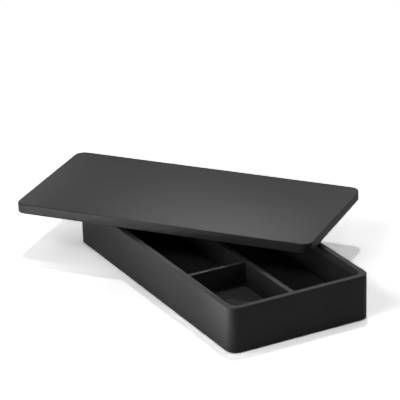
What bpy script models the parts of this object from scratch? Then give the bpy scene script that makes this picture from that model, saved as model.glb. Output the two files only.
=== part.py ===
"""Lidded desk tray for cables and small things: an open rectangular box with rounded
corners, two fixed dividers, three floor mats and a loose flat lid.

Metres, +Z up. The origin is the centre of the box's footprint, on the surface it stands
on. X runs along the box, Y across it. The lid lies askew on the rim, as it is left when
the box is half open: its locating plate rests on the rims instead of dropping inside.
"""
import math

import bmesh
import bpy
from mathutils import Matrix, Vector

# ---------------------------------------------------------------- driving dimensions
LENGTH = 0.300              # outside, along X
WIDTH = 0.1453              # outside, along Y
HEIGHT = 0.0438             # top of the rim above the table
CORNER_RADIUS = 0.0096      # outer vertical corners
INSIDE_RADIUS = 0.0072      # inner vertical corners, where the walls run into each other thicker
WALL = 0.0059               # wall of the frame
RIM_ROUND = 0.0005          # eased edges of rim, lid and dividers
FIT = 0.0003                # gap between pieces that touch

FOOT_RADIUS = 0.0060
FOOT_HEIGHT = 0.0016
FOOT_PROUD = 0.0006         # how far a foot stands out of the base
FOOT_INSET = 0.0200         # foot centre from the outside of the walls

BASE_THICKNESS = 0.0132     # base panel, set between the walls
POCKET_LEDGE = 0.0012       # ledge of the base left round each pocket for a floor mat
POCKET_DEPTH = 0.0026
POCKET_RADIUS = 0.0025      # pocket corner beside a divider
MAT_THICKNESS = 0.0020      # floor mats
MAT_GAP = 0.0015            # open groove between a mat and the side of its pocket
MAT_EDGE = 0.0003           # eased top edge of a mat

DIVIDER_DROP = 0.0090       # dividers end this far below the rim
LONG_DIVIDER_Y = 0.0030     # middle of the long divider
LONG_DIVIDER_THICKNESS = 0.0053
CROSS_DIVIDER_X = 0.0475    # middle of the cross divider
CROSS_DIVIDER_THICKNESS = 0.0045

LID_THICKNESS = 0.0094
LID_SWING = math.radians(38.5)          # how far the lid is turned from square
LID_CENTRE = Vector((-0.0718, 0.0077))  # where its middle lies over the box
PLATE_THICKNESS = 0.0030
PLATE_MARGIN = 0.0080       # lid edge to plate edge

ARC_STEPS = 8               # facets of a quarter turn on the vertical corners
EDGE_STEPS = 2              # facets of an eased edge
SMALLEST_RADIUS = 0.00005   # left on a corner once its radius is used up

# ---------------------------------------------------------------- derived dimensions
FRAME_BOTTOM = FOOT_PROUD
INNER_LENGTH = LENGTH - 2.0 * WALL
INNER_WIDTH = WIDTH - 2.0 * WALL
POCKET_END_RADIUS = INSIDE_RADIUS - POCKET_LEDGE   # pocket corner beside a corner of the frame
BASE_TOP = FRAME_BOTTOM + BASE_THICKNESS
DIVIDER_TOP = HEIGHT - DIVIDER_DROP
PLATE_BOTTOM = HEIGHT + FIT
LID_BOTTOM = PLATE_BOTTOM + PLATE_THICKNESS + FIT

# Each material: colour, roughness, metallic.
COLOURS = {
    "satin_black": ((0.050, 0.050, 0.052, 1.0), 0.42, 0.0),
    "matt_black": ((0.040, 0.040, 0.042, 1.0), 0.60, 0.0),
    "mat_black": ((0.045, 0.045, 0.047, 1.0), 0.55, 0.0),
    "rubber_grey": ((0.070, 0.070, 0.070, 1.0), 0.80, 0.0),
}


def clear_scene():
    """Start from an empty scene."""
    for item in list(bpy.data.objects):
        bpy.data.objects.remove(item, do_unlink=True)


def make_material(name, finish):
    """One Principled BSDF material for one piece."""
    colour, roughness, metallic = COLOURS[finish]
    material = bpy.data.materials.new(name)
    material.use_nodes = True
    shader = material.node_tree.nodes["Principled BSDF"]
    shader.inputs["Base Color"].default_value = colour
    shader.inputs["Roughness"].default_value = roughness
    shader.inputs["Metallic"].default_value = metallic
    return material


def four_radii(radius):
    """One radius for each corner, anticlockwise from +X +Y, out of one number or four."""
    return tuple(radius) if isinstance(radius, tuple) else (radius,) * 4


def rounded_rectangle(length, width, radii, steps=ARC_STEPS):
    """Points of a rectangle with round corners, anticlockwise, centred on the origin."""
    points = []
    for corner, radius in enumerate(radii):
        sign_x = (1, -1, -1, 1)[corner]
        sign_y = (1, 1, -1, -1)[corner]
        middle = Vector((sign_x * (length / 2 - radius), sign_y * (width / 2 - radius)))
        for step in range(steps + 1):
            angle = math.radians(90.0) * (corner + step / steps)
            points.append(middle + radius * Vector((math.cos(angle), math.sin(angle))))
    return points


def edge_profile(bottom, top, ease_bottom, ease_top):
    """Heights and insets of the outline from bottom to top, with eased edges."""
    profile = []
    for step in range(EDGE_STEPS + 1):
        angle = math.radians(90.0) * step / EDGE_STEPS
        rise = ease_bottom * (1.0 - math.cos(angle))
        inset = ease_bottom * (1.0 - math.sin(angle))
        profile.append((bottom + rise, inset))
        if ease_bottom == 0.0:
            break
    for step in range(EDGE_STEPS + 1):
        angle = math.radians(90.0) * step / EDGE_STEPS
        drop = ease_top * (1.0 - math.sin(angle))
        inset = ease_top * (1.0 - math.cos(angle))
        if ease_top == 0.0:
            profile.append((top, 0.0))
            break
        profile.append((top - drop, inset))
    return profile


def add_ring(mesh, length, width, radius, inset, height, centre):
    """One closed loop of vertices on the rounded outline, drawn in by inset."""
    radii = [max(corner - inset, SMALLEST_RADIUS) for corner in four_radii(radius)]
    outline = rounded_rectangle(length - 2 * inset, width - 2 * inset, radii)
    return [mesh.verts.new((point.x + centre[0], point.y + centre[1], height)) for point in outline]


def bridge(mesh, lower, upper, flip=False):
    """Join two loops of the same count with quads."""
    count = len(lower)
    for index in range(count):
        after = (index + 1) % count
        quad = (lower[index], lower[after], upper[after], upper[index])
        mesh.faces.new(tuple(reversed(quad)) if flip else quad)


def finish_object(name, mesh, finish, parent=None):
    """Turn a bmesh into a named object with its own material."""
    bmesh.ops.recalc_face_normals(mesh, faces=mesh.faces)
    data = bpy.data.meshes.new(name)
    mesh.to_mesh(data)
    mesh.free()
    data.shade_smooth()
    data.set_sharp_from_angle(angle=math.radians(40.0))
    data.materials.append(make_material(name, finish))
    piece = bpy.data.objects.new(name, data)
    bpy.context.scene.collection.objects.link(piece)
    piece.parent = parent
    return piece


def make_slab(name, finish, length, width, radius, bottom, top, centre=(0.0, 0.0),
              ease_bottom=0.0, ease_top=0.0, parent=None):
    """A flat board with round corners and eased edges."""
    mesh = bmesh.new()
    loops = []
    for height, inset in edge_profile(bottom, top, ease_bottom, ease_top):
        loops.append(add_ring(mesh, length, width, radius, inset, height, centre))
    for lower, upper in zip(loops, loops[1:]):
        bridge(mesh, lower, upper)
    mesh.faces.new(list(reversed(loops[0])))
    mesh.faces.new(loops[-1])
    return finish_object(name, mesh, finish, parent)


def make_frame():
    """The four walls in one ring, open at the top and the bottom."""
    mesh = bmesh.new()
    outer = []
    for height, inset in edge_profile(FRAME_BOTTOM, HEIGHT, RIM_ROUND, RIM_ROUND):
        outer.append(add_ring(mesh, LENGTH, WIDTH, CORNER_RADIUS, inset, height, (0.0, 0.0)))
    inner = []
    for height, inset in edge_profile(FRAME_BOTTOM, HEIGHT, 0.0, RIM_ROUND):
        inner.append(add_ring(mesh, INNER_LENGTH, INNER_WIDTH, INSIDE_RADIUS, -inset, height, (0.0, 0.0)))
    for lower, upper in zip(outer, outer[1:]):
        bridge(mesh, lower, upper)
    for lower, upper in zip(inner, inner[1:]):
        bridge(mesh, lower, upper, flip=True)
    bridge(mesh, outer[-1], inner[-1])
    bridge(mesh, outer[0], inner[0], flip=True)
    return finish_object("tray_frame", mesh, "satin_black")


def compartments():
    """Middle, length, width and pocket corner radii of each compartment's floor."""
    end = INNER_LENGTH / 2
    side = INNER_WIDTH / 2
    near = LONG_DIVIDER_Y - LONG_DIVIDER_THICKNESS / 2
    far = LONG_DIVIDER_Y + LONG_DIVIDER_THICKNESS / 2
    cross_low = CROSS_DIVIDER_X - CROSS_DIVIDER_THICKNESS / 2
    cross_high = CROSS_DIVIDER_X + CROSS_DIVIDER_THICKNESS / 2
    wide = POCKET_END_RADIUS
    tight = POCKET_RADIUS
    return {
        "small": floor_area(cross_high, end, -side, near, (tight, tight, tight, wide)),
        "middle": floor_area(-end, cross_low, -side, near, (tight, tight, wide, tight)),
        "long": floor_area(-end, end, far, side, (wide, wide, tight, tight)),
    }


def floor_area(low_x, high_x, low_y, high_y, radii):
    """The middle, length, width and corner radii of the rectangle between four walls."""
    middle = ((low_x + high_x) / 2, (low_y + high_y) / 2)
    return middle, high_x - low_x, high_y - low_y, radii


def foot_places():
    """The four feet, one near each corner."""
    reach_x = LENGTH / 2 - FOOT_INSET
    reach_y = WIDTH / 2 - FOOT_INSET
    return [(sign_x * reach_x, sign_y * reach_y) for sign_x in (-1, 1) for sign_y in (-1, 1)]


def make_disc_mesh(radius, bottom, top, centre, steps=32):
    """A plain round disc as a bmesh."""
    mesh = bmesh.new()
    move = Matrix.Translation((centre[0], centre[1], (bottom + top) / 2))
    bmesh.ops.create_cone(mesh, cap_ends=True, segments=steps, radius1=radius, radius2=radius,
                          depth=top - bottom, matrix=move)
    return mesh


def cut_with(target, cutter):
    """Take the cutter's shape out of the target, and leave the cutter out of the model."""
    cutter.hide_render = True
    cutter.display_type = "WIRE"
    cut = target.modifiers.new(cutter.name, "BOOLEAN")
    cut.operation = "DIFFERENCE"
    cut.object = cutter
    cut.solver = "EXACT"


def make_base():
    """The base panel: a pocket for each floor mat on top, a round recess for each foot below."""
    base = make_slab("base_panel", "matt_black", INNER_LENGTH - 2 * FIT, INNER_WIDTH - 2 * FIT,
                     INSIDE_RADIUS - FIT, FRAME_BOTTOM, BASE_TOP)
    for name, (centre, length, width, radii) in compartments().items():
        cutter = make_slab(f"cutter_pocket_{name}", "matt_black", length - 2 * POCKET_LEDGE,
                           width - 2 * POCKET_LEDGE, radii, BASE_TOP - POCKET_DEPTH,
                           BASE_TOP + POCKET_DEPTH, centre)
        cut_with(base, cutter)
    for index, place in enumerate(foot_places(), start=1):
        mesh = make_disc_mesh(FOOT_RADIUS + FIT, -FOOT_HEIGHT, FOOT_HEIGHT + FIT, place)
        cut_with(base, finish_object(f"cutter_foot_{index}", mesh, "matt_black"))


def make_feet():
    """Four round anti-slip feet, let into the base panel."""
    for index, place in enumerate(foot_places(), start=1):
        mesh = make_disc_mesh(FOOT_RADIUS, 0.0, FOOT_HEIGHT, place)
        finish_object(f"anti_slip_foot_{index}", mesh, "rubber_grey")


def make_dividers():
    """The long divider from end to end, and the cross divider to the front wall."""
    make_slab("long_divider", "satin_black", INNER_LENGTH - 2 * FIT, LONG_DIVIDER_THICKNESS, 0.0004,
              BASE_TOP + FIT, DIVIDER_TOP, (0.0, LONG_DIVIDER_Y), ease_top=0.0003)
    front = -INNER_WIDTH / 2 + FIT
    back = LONG_DIVIDER_Y - LONG_DIVIDER_THICKNESS / 2 - FIT
    make_slab("cross_divider", "satin_black", CROSS_DIVIDER_THICKNESS, back - front, 0.0004,
              BASE_TOP + FIT, DIVIDER_TOP, (CROSS_DIVIDER_X, (front + back) / 2), ease_top=0.0003)


def make_mats():
    """One loose floor mat in each pocket, with a groove left all round it."""
    inset = POCKET_LEDGE + MAT_GAP
    bottom = BASE_TOP - POCKET_DEPTH + FIT
    for name, (centre, length, width, radii) in compartments().items():
        mat_radii = tuple(radius - MAT_GAP for radius in radii)
        make_slab(f"floor_mat_{name}", "mat_black", length - 2 * inset, width - 2 * inset,
                  mat_radii, bottom, bottom + MAT_THICKNESS, centre, ease_top=MAT_EDGE)


def make_lid():
    """The lid panel and the locating plate under it, turned and shifted as one."""
    holder = bpy.data.objects.new("lid_place", None)
    bpy.context.scene.collection.objects.link(holder)
    holder.location = (LID_CENTRE.x, LID_CENTRE.y, 0.0)
    holder.rotation_euler = (0.0, 0.0, LID_SWING)
    make_slab("lid_panel", "satin_black", LENGTH, WIDTH, CORNER_RADIUS, LID_BOTTOM,
              LID_BOTTOM + LID_THICKNESS, ease_bottom=RIM_ROUND, ease_top=RIM_ROUND, parent=holder)
    make_slab("lid_locating_plate", "matt_black", LENGTH - 2 * PLATE_MARGIN, WIDTH - 2 * PLATE_MARGIN,
              0.0040, PLATE_BOTTOM, PLATE_BOTTOM + PLATE_THICKNESS, ease_bottom=RIM_ROUND, parent=holder)


def main():
    clear_scene()
    make_frame()
    make_base()
    make_feet()
    make_dividers()
    make_mats()
    make_lid()


main()
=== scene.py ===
"""Looks for the lidded desk tray: finer pieces, satin black finishes, studio light, camera."""
import math

import bmesh
import bpy
from mathutils import Matrix, Vector


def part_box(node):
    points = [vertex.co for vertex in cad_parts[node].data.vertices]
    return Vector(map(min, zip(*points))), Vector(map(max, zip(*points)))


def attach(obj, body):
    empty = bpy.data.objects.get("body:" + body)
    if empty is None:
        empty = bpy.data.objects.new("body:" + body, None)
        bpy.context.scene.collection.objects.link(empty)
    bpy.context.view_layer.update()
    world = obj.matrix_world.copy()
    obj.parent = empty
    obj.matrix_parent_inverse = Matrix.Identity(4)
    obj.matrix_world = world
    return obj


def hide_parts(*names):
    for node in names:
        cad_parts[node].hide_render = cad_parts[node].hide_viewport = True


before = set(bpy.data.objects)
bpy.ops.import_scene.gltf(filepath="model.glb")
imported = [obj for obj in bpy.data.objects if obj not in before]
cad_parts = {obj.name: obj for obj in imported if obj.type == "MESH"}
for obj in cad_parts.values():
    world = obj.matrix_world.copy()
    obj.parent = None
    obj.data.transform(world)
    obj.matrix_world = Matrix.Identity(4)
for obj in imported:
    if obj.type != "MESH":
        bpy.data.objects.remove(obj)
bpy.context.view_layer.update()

# ---------------------------------------------------------------- shape, in metres
CORNER_RADIUS = 0.0096      # outer corners of the box and the lid
INSIDE_RADIUS = 0.0072      # inner corners of the box
FIT = 0.0003                # gap between the base panel and the walls
RIM_ROUND = 0.0006          # eased edges of the rim and the lid
DIVIDER_ROUND = 0.0005      # eased top edges and upright edges of the dividers
PLATE_ROUND = 0.0005        # eased edge under the locating plate
PLATE_RADIUS = 0.0040       # corners of the locating plate
MAT_ROUND = 0.0004          # eased top edge of a mat
MAT_END_RADIUS = 0.0045     # mat corner beside a corner of the box
MAT_RADIUS = 0.0010         # mat corner beside a divider
FOOT_ROUND = 0.0003         # eased edge a foot stands on
PLATE_MARGIN = 0.0080       # lid edge to plate edge
LID_SWING = math.radians(38.5)
ARC_STEPS = 20              # facets of a quarter turn on an upright corner
EDGE_STEPS = 5              # facets of an eased edge
SMALLEST_RADIUS = 0.00005   # stands for a sharp edge or corner
SAME_PLACE = 0.000001       # vertices closer than this are joined
SHARP_ANGLE = math.radians(30.0)
QUARTER_TURN = math.radians(90.0)

# ---------------------------------------------------------------- finishes
CLOUD_DETAIL = 4.0
CLOUD_ROUGHNESS = 0.55
GRAIN_DETAIL = 3.0
GRAIN_ROUGHNESS = 0.6
NOISE_LOW = 0.7             # the sum of both noises runs from about here
NOISE_HIGH = 1.3            # to about here

# ---------------------------------------------------------------- camera
# Measured from the photo's perspective, in the model's frame.
CAMERA_PLACE = Vector((1.7953, -0.9911, 0.9306))
CAMERA_RIGHT = Vector((0.48477, 0.87432, -0.02369))
CAMERA_FORWARD = Vector((-0.81217, 0.43992, -0.38321))
SENSOR = 36.0               # millimetres
LENS = 214.79               # millimetres

# ---------------------------------------------------------------- studio
FLOOR_SIZE = 3.0            # metres
FADE_START = 0.40           # the floor fades into the white surround between these distances
FADE_END = 0.70
FLOOR_SHADE = 0.8           # how much light the floor gives back to the object
FLOOR_LIFT = 2.6            # how much brighter the floor looks to the camera than in a reflection
STUDIO_MIDDLE = Vector((-0.02, 0.0, 0.03))

# The key lamp: two beams from one place, so that it reaches the far side of the floor.
KEY_PLACE = Vector((-0.6506, 0.4588, 2.940))
KEY_BEAMS = (
    ("key_near", Vector((0.0, 0.0, 0.0))),
    ("key_far", Vector((0.25, 0.10, 0.0))),
)
KEY_SPREAD = 0.45
KEY_POWER = 32.7
KEY_SOFTNESS = 0.07

# Round soft boxes: name, degrees above the floor, degrees round from +X, size in metres, watts.
SOFT_REACH = 1.5
SOFT_BOXES = (
    ("left_high", 44, 270, 0.4, 1.34),
    ("left_high_front", 44, 295, 0.4, 2.54),
    ("front_high", 62, 0, 0.4, 0.9),
    ("right", 30, 60, 0.5, 2.2),
    ("back_right", 28, 130, 0.5, 1.95),
    ("back", 28, 152, 0.5, 1.25),
    ("back_left", 28, 235, 0.5, 0.26),
    ("left", 28, 260, 0.5, 0.90),
    ("back_left_low", 15, 210, 0.5, 3.44),
    ("left_low", 15, 280, 0.5, 5.73),
    ("back_low", 12, 175, 0.5, 3.87),
    ("right_low", 12, 100, 0.5, 3.78),
)

# Beams straight down on the floor: name, X, Y, radius, watts. The pool also shows in the long wall.
BEAM_SOFTNESS = 0.05
FLOOR_BEAM_HEIGHT = 1.5
FLOOR_BEAMS = (
    ("floor_pool", 0.0, -0.42, 0.25, 1195.8),
    ("floor_side", -0.12, -0.17, 0.09, 10.0),
    ("floor_front", 0.24, 0.0, 0.13, 10.0),
)

# Beams from behind that give the sheen along the lid's near edge: place along the lid, watts.
LID_BEAM_FROM = Vector((-0.66, 0.36, 0.66))
LID_BEAM_REACH = 2.5
LID_BEAM_ACROSS = -0.060
LID_BEAM_SPREAD = 0.055
LID_BEAMS = ((-0.05, 13.0), (-0.005, 27.0), (0.04, 27.0), (0.085, 27.0), (0.13, 27.0))

# Low beams onto the near long wall that give its sheen: name, X, Z, radius, watts.
WALL_SIDE = -0.0727         # where that wall stands in Y
WALL_BEAM_FROM = Vector((-0.45, -0.85, 0.05))
WALL_BEAM_REACH = 1.5
WALL_BEAM_SOFTNESS = 0.03
WALL_BEAMS = (
    ("wall_sheen_front", 0.145, 0.040, 0.05, 162.0),
    ("wall_sheen_back", -0.03, 0.040, 0.035, 30.0),
    ("wall_sheen_middle", 0.05, 0.030, 0.06, 33.7),
)

# One beam into the small compartment.
TRAY_BEAM_AIM = Vector((0.080, -0.034, 0.012))
TRAY_BEAM_FROM = Vector((-0.35, -0.15, 0.92))
TRAY_BEAM_REACH = 1.5
TRAY_BEAM_SPREAD = 0.045
TRAY_BEAM_POWER = 30.0


# ---------------------------------------------------------------- outlines and meshes
def rounded_rectangle(length, width, radii):
    """Points of a rectangle with round corners, anticlockwise from +X +Y."""
    points = []
    for corner, radius in enumerate(radii):
        sign_x = (1, -1, -1, 1)[corner]
        sign_y = (1, 1, -1, -1)[corner]
        middle = Vector((sign_x * (length / 2 - radius), sign_y * (width / 2 - radius)))
        for step in range(ARC_STEPS + 1):
            angle = QUARTER_TURN * (corner + step / ARC_STEPS)
            points.append(middle + radius * Vector((math.cos(angle), math.sin(angle))))
    return points


def eased_profile(bottom, top, ease_bottom, ease_top):
    """Heights and insets from bottom to top along a wall whose edges are rounded."""
    profile = []
    for step in range(EDGE_STEPS + 1):
        angle = QUARTER_TURN * step / EDGE_STEPS
        rise = ease_bottom * (1.0 - math.cos(angle))
        inset = ease_bottom * (1.0 - math.sin(angle))
        profile.append((bottom + rise, inset))
    for step in range(EDGE_STEPS + 1):
        angle = QUARTER_TURN * step / EDGE_STEPS
        drop = ease_top * (1.0 - math.sin(angle))
        inset = ease_top * (1.0 - math.cos(angle))
        profile.append((top - drop, inset))
    return profile


def add_ring(mesh, length, width, radii, inset, height):
    """One closed loop of vertices on the rounded outline, drawn in by inset."""
    drawn_in = [max(radius - inset, SMALLEST_RADIUS) for radius in radii]
    outline = rounded_rectangle(length - 2 * inset, width - 2 * inset, drawn_in)
    return [mesh.verts.new((point.x, point.y, height)) for point in outline]


def bridge(mesh, lower, upper, flip=False):
    """Join two loops of the same count with quads."""
    count = len(lower)
    for index in range(count):
        after = (index + 1) % count
        quad = (lower[index], lower[after], upper[after], upper[index])
        mesh.faces.new(tuple(reversed(quad)) if flip else quad)


def finish_piece(name, mesh, material, node, body, place=(0.0, 0.0), turn=0.0):
    """Put a bmesh in its place as the piece that stands for a CAD node."""
    move = Matrix.Translation((place[0], place[1], 0.0)) @ Matrix.Rotation(turn, 4, "Z")
    bmesh.ops.transform(mesh, matrix=move, verts=mesh.verts)
    bmesh.ops.recalc_face_normals(mesh, faces=mesh.faces)
    data = bpy.data.meshes.new(name)
    mesh.to_mesh(data)
    mesh.free()
    data.shade_smooth()
    data.set_sharp_from_angle(angle=SHARP_ANGLE)
    data.materials.append(material)
    piece = bpy.data.objects.new(name, data)
    bpy.context.scene.collection.objects.link(piece)
    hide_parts(node)
    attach(piece, body)


def slab_mesh(length, width, radii, bottom, top, ease_bottom, ease_top):
    """A flat board with round corners and rounded edges."""
    mesh = bmesh.new()
    loops = []
    for height, inset in eased_profile(bottom, top, ease_bottom, ease_top):
        loops.append(add_ring(mesh, length, width, radii, inset, height))
    for lower, upper in zip(loops, loops[1:]):
        bridge(mesh, lower, upper)
    mesh.faces.new(list(reversed(loops[0])))
    mesh.faces.new(loops[-1])
    bmesh.ops.remove_doubles(mesh, verts=mesh.verts, dist=SAME_PLACE)
    return mesh


def frame_mesh(length, width, inner_length, inner_width, bottom, top):
    """The ring of four walls, open at the top and the bottom, with rounded rims."""
    mesh = bmesh.new()
    outer_radii = (CORNER_RADIUS,) * 4
    inner_radii = (INSIDE_RADIUS,) * 4
    outer = []
    inner = []
    for height, inset in eased_profile(bottom, top, RIM_ROUND, RIM_ROUND):
        outer.append(add_ring(mesh, length, width, outer_radii, inset, height))
        inner.append(add_ring(mesh, inner_length, inner_width, inner_radii, -inset, height))
    for lower, upper in zip(outer, outer[1:]):
        bridge(mesh, lower, upper)
    for lower, upper in zip(inner, inner[1:]):
        bridge(mesh, lower, upper, flip=True)
    bridge(mesh, outer[-1], inner[-1])
    bridge(mesh, outer[0], inner[0], flip=True)
    return mesh


# ---------------------------------------------------------------- materials
def link(tree, source, output, target, socket):
    """Join an output of one node to an input of another."""
    tree.links.new(source.outputs[output], target.inputs[socket])


def add_noise(tree, coordinates, scale, detail, roughness):
    """A cloudy noise fixed to the piece's own frame."""
    noise = tree.nodes.new("ShaderNodeTexNoise")
    noise.inputs["Scale"].default_value = scale
    noise.inputs["Detail"].default_value = detail
    noise.inputs["Roughness"].default_value = roughness
    link(tree, coordinates, "Object", noise, "Vector")
    return noise


def add_range(tree, source, output, low, high, to_low, to_high):
    """Stretch a value from one range to another."""
    fit = tree.nodes.new("ShaderNodeMapRange")
    fit.inputs["From Min"].default_value = low
    fit.inputs["From Max"].default_value = high
    fit.inputs["To Min"].default_value = to_low
    fit.inputs["To Max"].default_value = to_high
    link(tree, source, output, fit, "Value")
    return fit


def grained_material(name, shade, roughness, grain_size, grain_depth, cloud_size, specular):
    """A black surface with a fine moulded grain and faint clouds of shade and gloss.

    shade and roughness are each a low and a high value.
    """
    material = bpy.data.materials.new(name)
    material.use_nodes = True
    tree = material.node_tree
    shader = tree.nodes["Principled BSDF"]
    shader.inputs["Specular IOR Level"].default_value = specular
    coordinates = tree.nodes.new("ShaderNodeTexCoord")
    clouds = add_noise(tree, coordinates, 1.0 / cloud_size, CLOUD_DETAIL, CLOUD_ROUGHNESS)
    grain = add_noise(tree, coordinates, 1.0 / grain_size, GRAIN_DETAIL, GRAIN_ROUGHNESS)
    both = tree.nodes.new("ShaderNodeMath")
    both.operation = "ADD"
    link(tree, clouds, "Fac", both, 0)
    link(tree, grain, "Fac", both, 1)
    colour = tree.nodes.new("ShaderNodeMix")
    colour.data_type = "RGBA"
    colour.inputs["A"].default_value = (shade[0], shade[0], shade[0], 1.0)
    colour.inputs["B"].default_value = (shade[1], shade[1], shade[1], 1.0)
    share = add_range(tree, both, "Value", NOISE_LOW, NOISE_HIGH, 0.0, 1.0)
    link(tree, share, "Result", colour, "Factor")
    link(tree, colour, "Result", shader, "Base Color")
    gloss = add_range(tree, both, "Value", NOISE_LOW, NOISE_HIGH, roughness[0], roughness[1])
    link(tree, gloss, "Result", shader, "Roughness")
    bump = tree.nodes.new("ShaderNodeBump")
    bump.inputs["Distance"].default_value = grain_depth
    bump.inputs["Strength"].default_value = 1.0
    link(tree, grain, "Fac", bump, "Height")
    link(tree, bump, "Normal", shader, "Normal")
    return material


def paint(node, material):
    """Give a carried-over CAD node a finish."""
    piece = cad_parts[node]
    piece.data.materials.clear()
    piece.data.materials.append(material)


# ---------------------------------------------------------------- pieces
def node_size(node):
    """The centre, length, width, bottom and top of a node's box."""
    low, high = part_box(node)
    centre = ((low[0] + high[0]) / 2, (low[1] + high[1]) / 2)
    return centre, high[0] - low[0], high[1] - low[1], low[2], high[2]


def add_box_pieces(shell):
    """The walls and the two dividers."""
    _, length, width, bottom, top = node_size("tray_frame")
    _, base_length, base_width, _, _ = node_size("base_panel")
    mesh = frame_mesh(length, width, base_length + 2 * FIT, base_width + 2 * FIT, bottom, top)
    finish_piece("box_walls", mesh, shell, "tray_frame", "tray")
    for node, name in (("long_divider", "divider_board_long"), ("cross_divider", "divider_board_cross")):
        centre, length, width, bottom, top = node_size(node)
        mesh = slab_mesh(length, width, (DIVIDER_ROUND,) * 4, bottom, top, SMALLEST_RADIUS, DIVIDER_ROUND)
        finish_piece(name, mesh, shell, node, "tray", centre)


def add_mats(material):
    """The floor sheets. Their corners are wide beside a corner of the box."""
    wide = MAT_END_RADIUS
    tight = MAT_RADIUS
    corners = {
        "small": (tight, tight, tight, wide),
        "middle": (tight, tight, wide, tight),
        "long": (wide, wide, tight, tight),
    }
    for name, radii in corners.items():
        node = f"floor_mat_{name}"
        centre, length, width, bottom, top = node_size(node)
        mesh = slab_mesh(length, width, radii, bottom, top, SMALLEST_RADIUS, MAT_ROUND)
        finish_piece(f"mat_sheet_{name}", mesh, material, node, "tray", centre)


def add_feet(material):
    """The four round feet."""
    for index in range(1, 5):
        node = f"anti_slip_foot_{index}"
        centre, length, width, bottom, top = node_size(node)
        radius = length / 2
        mesh = slab_mesh(length, width, (radius,) * 4, bottom, top, FOOT_ROUND, SMALLEST_RADIUS)
        finish_piece(f"foot_pad_{index}", mesh, material, node, "tray", centre)


def add_lid_pieces(lid, board):
    """The lid and the plate under it. Both are turned, so their own boxes don't give their sizes."""
    _, length, width, _, _ = node_size("tray_frame")
    centre, _, _, bottom, top = node_size("lid_panel")
    mesh = slab_mesh(length, width, (CORNER_RADIUS,) * 4, bottom, top, RIM_ROUND, RIM_ROUND)
    finish_piece("lid_board", mesh, lid, "lid_panel", "lid", centre, LID_SWING)
    centre, _, _, bottom, top = node_size("lid_locating_plate")
    plate_length = length - 2 * PLATE_MARGIN
    plate_width = width - 2 * PLATE_MARGIN
    mesh = slab_mesh(plate_length, plate_width, (PLATE_RADIUS,) * 4, bottom, top,
                     PLATE_ROUND, SMALLEST_RADIUS)
    finish_piece("locating_board", mesh, board, "lid_locating_plate", "lid",
                 centre, LID_SWING)


# ---------------------------------------------------------------- studio
def add_camera():
    """A long lens from the front right, looking down on the tray."""
    data = bpy.data.cameras.new("camera")
    data.sensor_width = SENSOR
    data.lens = LENS
    camera = bpy.data.objects.new("camera", data)
    bpy.context.scene.collection.objects.link(camera)
    back = -CAMERA_FORWARD.normalized()
    right = (CAMERA_RIGHT - CAMERA_RIGHT.dot(back) * back).normalized()
    up = back.cross(right)
    turn = Matrix((right, up, back)).transposed()
    camera.matrix_world = Matrix.Translation(CAMERA_PLACE) @ turn.to_4x4()
    bpy.context.scene.camera = camera


def add_floor():
    """A plain white floor that fades into the surround.

    It looks brighter to the camera than it does in the object's gloss.
    """
    bpy.ops.mesh.primitive_plane_add(size=FLOOR_SIZE, location=(0, 0, 0))
    floor = bpy.context.object
    floor.name = "studio_floor"
    material = bpy.data.materials.new("pale_floor")
    material.use_nodes = True
    tree = material.node_tree
    tree.nodes.remove(tree.nodes["Principled BSDF"])
    output = tree.nodes["Material Output"]
    plain = tree.nodes.new("ShaderNodeBsdfDiffuse")
    plain.inputs["Color"].default_value = (FLOOR_SHADE, FLOOR_SHADE, FLOOR_SHADE, 1.0)
    bright = tree.nodes.new("ShaderNodeBsdfDiffuse")
    seen = FLOOR_SHADE * FLOOR_LIFT
    bright.inputs["Color"].default_value = (seen, seen, seen, 1.0)
    coordinates = tree.nodes.new("ShaderNodeTexCoord")
    distance = tree.nodes.new("ShaderNodeVectorMath")
    distance.operation = "LENGTH"
    link(tree, coordinates, "Object", distance, 0)
    fade = add_range(tree, distance, "Value", FADE_START, FADE_END, 0.0, 1.0)
    white = tree.nodes.new("ShaderNodeEmission")
    surround = tree.nodes.new("ShaderNodeMixShader")
    link(tree, fade, "Result", surround, 0)
    link(tree, bright, "BSDF", surround, 1)
    link(tree, white, "Emission", surround, 2)
    path = tree.nodes.new("ShaderNodeLightPath")
    mix = tree.nodes.new("ShaderNodeMixShader")
    link(tree, path, "Is Camera Ray", mix, 0)
    link(tree, plain, "BSDF", mix, 1)
    link(tree, surround, "Shader", mix, 2)
    link(tree, mix, "Shader", output, "Surface")
    floor.data.materials.append(material)


def around(elevation, azimuth):
    """A soft box's place, in degrees above the floor and round from +X."""
    rise = math.radians(elevation)
    turn = math.radians(azimuth)
    flat = SOFT_REACH * math.cos(rise)
    height = SOFT_REACH * math.sin(rise)
    return STUDIO_MIDDLE + Vector((flat * math.cos(turn), flat * math.sin(turn), height))


def place_light(name, data, place, aim):
    """Hang a light and point it."""
    light = bpy.data.objects.new(name, data)
    bpy.context.scene.collection.objects.link(light)
    light.location = place
    light.rotation_euler = (aim - place).to_track_quat("-Z", "Y").to_euler()


def add_soft(name, elevation, azimuth, size, power):
    """A round soft box that faces the object."""
    data = bpy.data.lights.new(name, "AREA")
    data.shape = "DISK"
    data.size = size
    data.energy = power
    place_light(name, data, around(elevation, azimuth), STUDIO_MIDDLE)


def add_beam(name, place, aim, spread, power, softness):
    """A lamp whose beam fades out evenly to the given radius at what it is aimed at."""
    data = bpy.data.lights.new(name, "SPOT")
    data.energy = power
    data.spot_blend = 1.0
    data.spot_size = 2.0 * math.atan(spread / (aim - place).length)
    data.shadow_soft_size = softness
    place_light(name, data, place, aim)


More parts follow.
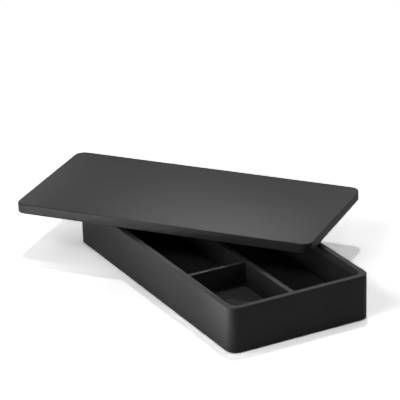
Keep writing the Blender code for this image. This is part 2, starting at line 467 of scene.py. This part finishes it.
def add_lights():
    """The key lamp, a ring of soft boxes, and beams for the floor and the sheen on the walls and lid."""
    for name, aim in KEY_BEAMS:
        add_beam(name, KEY_PLACE, aim, KEY_SPREAD, KEY_POWER, KEY_SOFTNESS)
    for name, elevation, azimuth, size, power in SOFT_BOXES:
        add_soft(name, elevation, azimuth, size, power)
    for name, x, y, spread, power in FLOOR_BEAMS:
        place = Vector((x, y, FLOOR_BEAM_HEIGHT))
        add_beam(name, place, Vector((x, y, 0.0)), spread, power, BEAM_SOFTNESS)
    behind = LID_BEAM_FROM.normalized()
    for number, (along, power) in enumerate(LID_BEAMS, start=1):
        aim = on_lid(along, LID_BEAM_ACROSS)
        place = aim + LID_BEAM_REACH * behind
        add_beam(f"lid_sheen_{number}", place, aim, LID_BEAM_SPREAD, power, BEAM_SOFTNESS)
    side = WALL_BEAM_FROM.normalized()
    for name, x, z, spread, power in WALL_BEAMS:
        aim = Vector((x, WALL_SIDE, z))
        add_beam(name, aim + WALL_BEAM_REACH * side, aim, spread, power, WALL_BEAM_SOFTNESS)
    place = TRAY_BEAM_AIM + TRAY_BEAM_REACH * TRAY_BEAM_FROM.normalized()
    add_beam("tray_glow", place, TRAY_BEAM_AIM, TRAY_BEAM_SPREAD, TRAY_BEAM_POWER, BEAM_SOFTNESS)


def add_surround():
    """A white surround for the camera that sheds no light of its own."""
    world = bpy.data.worlds.new("studio")
    world.use_nodes = True
    tree = world.node_tree
    backdrop = tree.nodes["Background"]
    backdrop.inputs["Color"].default_value = (1, 1, 1, 1)
    path = tree.nodes.new("ShaderNodeLightPath")
    link(tree, path, "Is Camera Ray", backdrop, "Strength")
    bpy.context.scene.world = world


def on_lid(along, across):
    """A point on the lid's top, from its middle along and across the lid."""
    centre, _, _, _, top = node_size("lid_panel")
    turned = Matrix.Rotation(LID_SWING, 2) @ Vector((along, across))
    return Vector((centre[0] + turned.x, centre[1] + turned.y, top))


def main():
    """Dress the tray, then set the studio around it."""
    bpy.context.scene.view_settings.view_transform = "Standard"
    shell = grained_material("satin_black", shade=(0.027, 0.033), roughness=(0.40, 0.44), grain_size=0.0009,
                             grain_depth=0.000004, cloud_size=0.03, specular=0.15)
    matt = grained_material("matt_black", shade=(0.022, 0.028), roughness=(0.52, 0.62), grain_size=0.0012,
                            grain_depth=0.00001, cloud_size=0.03, specular=0.15)
    mat = grained_material("mat_black", shade=(0.030, 0.038), roughness=(0.50, 0.56), grain_size=0.0010,
                           grain_depth=0.00001, cloud_size=0.02, specular=0.05)
    rubber = grained_material("foot_grey", shade=(0.02, 0.03), roughness=(0.6, 0.7), grain_size=0.0006,
                              grain_depth=0.00003, cloud_size=0.004, specular=0.15)
    add_box_pieces(shell)
    add_mats(mat)
    add_feet(rubber)
    add_lid_pieces(shell, matt)
    paint("base_panel", matt)
    add_camera()
    add_floor()
    add_lights()
    add_surround()


main()
